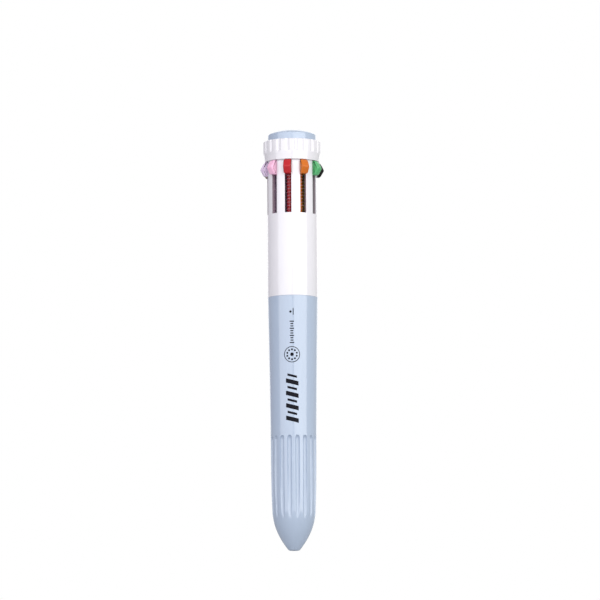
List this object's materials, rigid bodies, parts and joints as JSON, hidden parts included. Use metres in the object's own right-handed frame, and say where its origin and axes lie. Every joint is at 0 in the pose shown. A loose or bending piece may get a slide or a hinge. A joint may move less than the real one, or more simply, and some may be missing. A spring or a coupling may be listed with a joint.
{
  "type": "multicolour click pen",
  "caption": "Click pen with a ring of coloured slide buttons round the upper barrel, one refill and return spring per colour, a fluted grip that unscrews and a domed end cap.",
  "frame": {"origin": "centre of the flat end of the nose, on the pen's axis", "axes": "+Z along the pen from the nose to the end cap; -Y is the front, where the red and orange buttons face"},
  "size_m": [0.0224, 0.0224, 0.1465],
  "materials": {
    "pastel_blue_plastic": "semi-gloss moulded",
    "white_plastic": "gloss moulded",
    "dark_plastic": "satin moulded",
    "spring_steel": "drawn wire",
    "nickel_tip": "turned and polished",
    "red_button": "gloss moulded",
    "orange_button": "gloss moulded",
    "green_button": "gloss moulded",
    "black_button": "gloss moulded",
    "yellow_button": "gloss moulded",
    "sky_button": "gloss moulded",
    "blue_button": "gloss moulded",
    "brown_button": "gloss moulded",
    "lilac_button": "gloss moulded",
    "pink_button": "gloss moulded",
    "red_tube": "translucent extruded tube with ink inside",
    "orange_tube": "translucent extruded tube with ink inside",
    "green_tube": "translucent extruded tube with ink inside",
    "black_tube": "translucent extruded tube with ink inside",
    "yellow_tube": "translucent extruded tube with ink inside",
    "sky_tube": "translucent extruded tube with ink inside",
    "blue_tube": "translucent extruded tube with ink inside",
    "brown_tube": "translucent extruded tube with ink inside",
    "lilac_tube": "translucent extruded tube with ink inside",
    "pink_tube": "translucent extruded tube with ink inside"
  },
  "bodies": {
    "barrel": {"upper_barrel": "white_plastic", "crown_ring": "white_plastic", "end_cap": "pastel_blue_plastic", "guide_disc": "dark_plastic", "release_core": "dark_plastic", "spring_red": "spring_steel", "spring_orange": "spring_steel", "spring_green": "spring_steel", "spring_black": "spring_steel", "spring_yellow": "spring_steel", "spring_sky": "spring_steel", "spring_blue": "spring_steel", "spring_brown": "spring_steel", "spring_lilac": "spring_steel", "spring_pink": "spring_steel"},
    "grip": {"grip_barrel": "pastel_blue_plastic"},
    "slide_red": {"slide_red": "red_button"},
    "refill_red": {"refill_tube_red": "red_tube", "refill_tip_red": "nickel_tip"},
    "slide_orange": {"slide_orange": "orange_button"},
    "refill_orange": {"refill_tube_orange": "orange_tube", "refill_tip_orange": "nickel_tip"},
    "slide_green": {"slide_green": "green_button"},
    "refill_green": {"refill_tube_green": "green_tube", "refill_tip_green": "nickel_tip"},
    "slide_black": {"slide_black": "black_button"},
    "refill_black": {"refill_tube_black": "black_tube", "refill_tip_black": "nickel_tip"},
    "slide_yellow": {"slide_yellow": "yellow_button"},
    "refill_yellow": {"refill_tube_yellow": "yellow_tube", "refill_tip_yellow": "nickel_tip"},
    "slide_sky": {"slide_sky": "sky_button"},
    "refill_sky": {"refill_tube_sky": "sky_tube", "refill_tip_sky": "nickel_tip"},
    "slide_blue": {"slide_blue": "blue_button"},
    "refill_blue": {"refill_tube_blue": "blue_tube", "refill_tip_blue": "nickel_tip"},
    "slide_brown": {"slide_brown": "brown_button"},
    "refill_brown": {"refill_tube_brown": "brown_tube", "refill_tip_brown": "nickel_tip"},
    "slide_lilac": {"slide_lilac": "lilac_button"},
    "refill_lilac": {"refill_tube_lilac": "lilac_tube", "refill_tip_lilac": "nickel_tip"},
    "slide_pink": {"slide_pink": "pink_button"},
    "refill_pink": {"refill_tube_pink": "pink_tube", "refill_tip_pink": "nickel_tip"}
  },
  "joints": [
    {"name": "grip_unscrew", "type": "slide", "parent": "barrel", "child": "grip", "axis": [0, 0, -1], "range_m": [0, 0.095]},
    {"name": "slide_red_down", "type": "slide", "parent": "barrel", "child": "slide_red", "axis": [0, 0, -1], "range_m": [0, 0.012], "stiffness_N_per_m": 60, "springref_m": -0.005, "deforming": ["spring_red", "refill_tube_red", "refill_tip_red"]},
    {"name": "refill_red_bend", "type": "hinge", "parent": "slide_red", "child": "refill_red", "pos_m": [-0.00097, -0.00577, 0.0962], "axis": [0.9863, -0.165, 0], "range_deg": [0, 2.6]},
    {"name": "slide_orange_down", "type": "slide", "parent": "barrel", "child": "slide_orange", "axis": [0, 0, -1], "range_m": [0, 0.012], "stiffness_N_per_m": 60, "springref_m": -0.005, "deforming": ["spring_orange", "refill_tube_orange", "refill_tip_orange"]},
    {"name": "refill_orange_bend", "type": "hinge", "parent": "slide_orange", "child": "refill_orange", "pos_m": [0.00261, -0.00524, 0.0962], "axis": [0.8949, 0.4462, 0], "range_deg": [0, 2.6]},
    {"name": "slide_green_down", "type": "slide", "parent": "barrel", "child": "slide_green", "axis": [0, 0, -1], "range_m": [0, 0.012], "stiffness_N_per_m": 60, "springref_m": -0.005, "deforming": ["spring_green", "refill_tube_green", "refill_tip_green"]},
    {"name": "refill_green_bend", "type": "hinge", "parent": "slide_green", "child": "refill_green", "pos_m": [0.00519, -0.0027, 0.0962], "axis": [0.4617, 0.887, 0], "range_deg": [0, 2.6]},
    {"name": "slide_black_down", "type": "slide", "parent": "barrel", "child": "slide_black", "axis": [0, 0, -1], "range_m": [0, 0.012], "stiffness_N_per_m": 60, "springref_m": -0.005, "deforming": ["spring_black", "refill_tube_black", "refill_tip_black"]},
    {"name": "refill_black_bend", "type": "hinge", "parent": "slide_black", "child": "refill_black", "pos_m": [0.00579, 0.00086, 0.0962], "axis": [-0.1478, 0.989, 0], "range_deg": [0, 2.6]},
    {"name": "slide_yellow_down", "type": "slide", "parent": "barrel", "child": "slide_yellow", "axis": [0, 0, -1], "range_m": [0, 0.012], "stiffness_N_per_m": 60, "springref_m": -0.005, "deforming": ["spring_yellow", "refill_tube_yellow", "refill_tip_yellow"]},
    {"name": "refill_yellow_bend", "type": "hinge", "parent": "slide_yellow", "child": "refill_yellow", "pos_m": [0.00417, 0.0041, 0.0962], "axis": [-0.7009, 0.7133, 0], "range_deg": [0, 2.6]},
    {"name": "slide_sky_down", "type": "slide", "parent": "barrel", "child": "slide_sky", "axis": [0, 0, -1], "range_m": [0, 0.012], "stiffness_N_per_m": 60, "springref_m": -0.005, "deforming": ["spring_sky", "refill_tube_sky", "refill_tip_sky"]},
    {"name": "refill_sky_bend", "type": "hinge", "parent": "slide_sky", "child": "refill_sky", "pos_m": [0.00097, 0.00577, 0.0962], "axis": [-0.9863, 0.165, 0], "range_deg": [0, 2.6]},
    {"name": "slide_blue_down", "type": "slide", "parent": "barrel", "child": "slide_blue", "axis": [0, 0, -1], "range_m": [0, 0.012], "stiffness_N_per_m": 60, "springref_m": -0.005, "deforming": ["spring_blue", "refill_tube_blue", "refill_tip_blue"]},
    {"name": "refill_blue_bend", "type": "hinge", "parent": "slide_blue", "child": "refill_blue", "pos_m": [-0.00261, 0.00524, 0.0962], "axis": [-0.8949, -0.4462, 0], "range_deg": [0, 2.6]},
    {"name": "slide_brown_down", "type": "slide", "parent": "barrel", "child": "slide_brown", "axis": [0, 0, -1], "range_m": [0, 0.012], "stiffness_N_per_m": 60, "springref_m": -0.005, "deforming": ["spring_brown", "refill_tube_brown", "refill_tip_brown"]},
    {"name": "refill_brown_bend", "type": "hinge", "parent": "slide_brown", "child": "refill_brown", "pos_m": [-0.00519, 0.0027, 0.0962], "axis": [-0.4617, -0.887, 0], "range_deg": [0, 2.6]},
    {"name": "slide_lilac_down", "type": "slide", "parent": "barrel", "child": "slide_lilac", "axis": [0, 0, -1], "range_m": [0, 0.012], "stiffness_N_per_m": 60, "springref_m": -0.005, "deforming": ["spring_lilac", "refill_tube_lilac", "refill_tip_lilac"]},
    {"name": "refill_lilac_bend", "type": "hinge", "parent": "slide_lilac", "child": "refill_lilac", "pos_m": [-0.00579, -0.00086, 0.0962], "axis": [0.1478, -0.989, 0], "range_deg": [0, 2.6]},
    {"name": "slide_pink_down", "type": "slide", "parent": "barrel", "child": "slide_pink", "axis": [0, 0, -1], "range_m": [0, 0.012], "stiffness_N_per_m": 60, "springref_m": -0.005, "deforming": ["spring_pink", "refill_tube_pink", "refill_tip_pink"]},
    {"name": "refill_pink_bend", "type": "hinge", "parent": "slide_pink", "child": "refill_pink", "pos_m": [-0.00417, -0.0041, 0.0962], "axis": [0.7009, -0.7133, 0], "range_deg": [0, 2.6]}
  ],
  "couplings": [
    {"joint": "refill_red_bend", "follows": "slide_red_down", "rad_per_m": 3.7648},
    {"joint": "refill_orange_bend", "follows": "slide_orange_down", "rad_per_m": 3.7648},
    {"joint": "refill_green_bend", "follows": "slide_green_down", "rad_per_m": 3.7648},
    {"joint": "refill_black_bend", "follows": "slide_black_down", "rad_per_m": 3.7648},
    {"joint": "refill_yellow_bend", "follows": "slide_yellow_down", "rad_per_m": 3.7648},
    {"joint": "refill_sky_bend", "follows": "slide_sky_down", "rad_per_m": 3.7648},
    {"joint": "refill_blue_bend", "follows": "slide_blue_down", "rad_per_m": 3.7648},
    {"joint": "refill_brown_bend", "follows": "slide_brown_down", "rad_per_m": 3.7648},
    {"joint": "refill_lilac_bend", "follows": "slide_lilac_down", "rad_per_m": 3.7648},
    {"joint": "refill_pink_bend", "follows": "slide_pink_down", "rad_per_m": 3.7648}
  ]
}
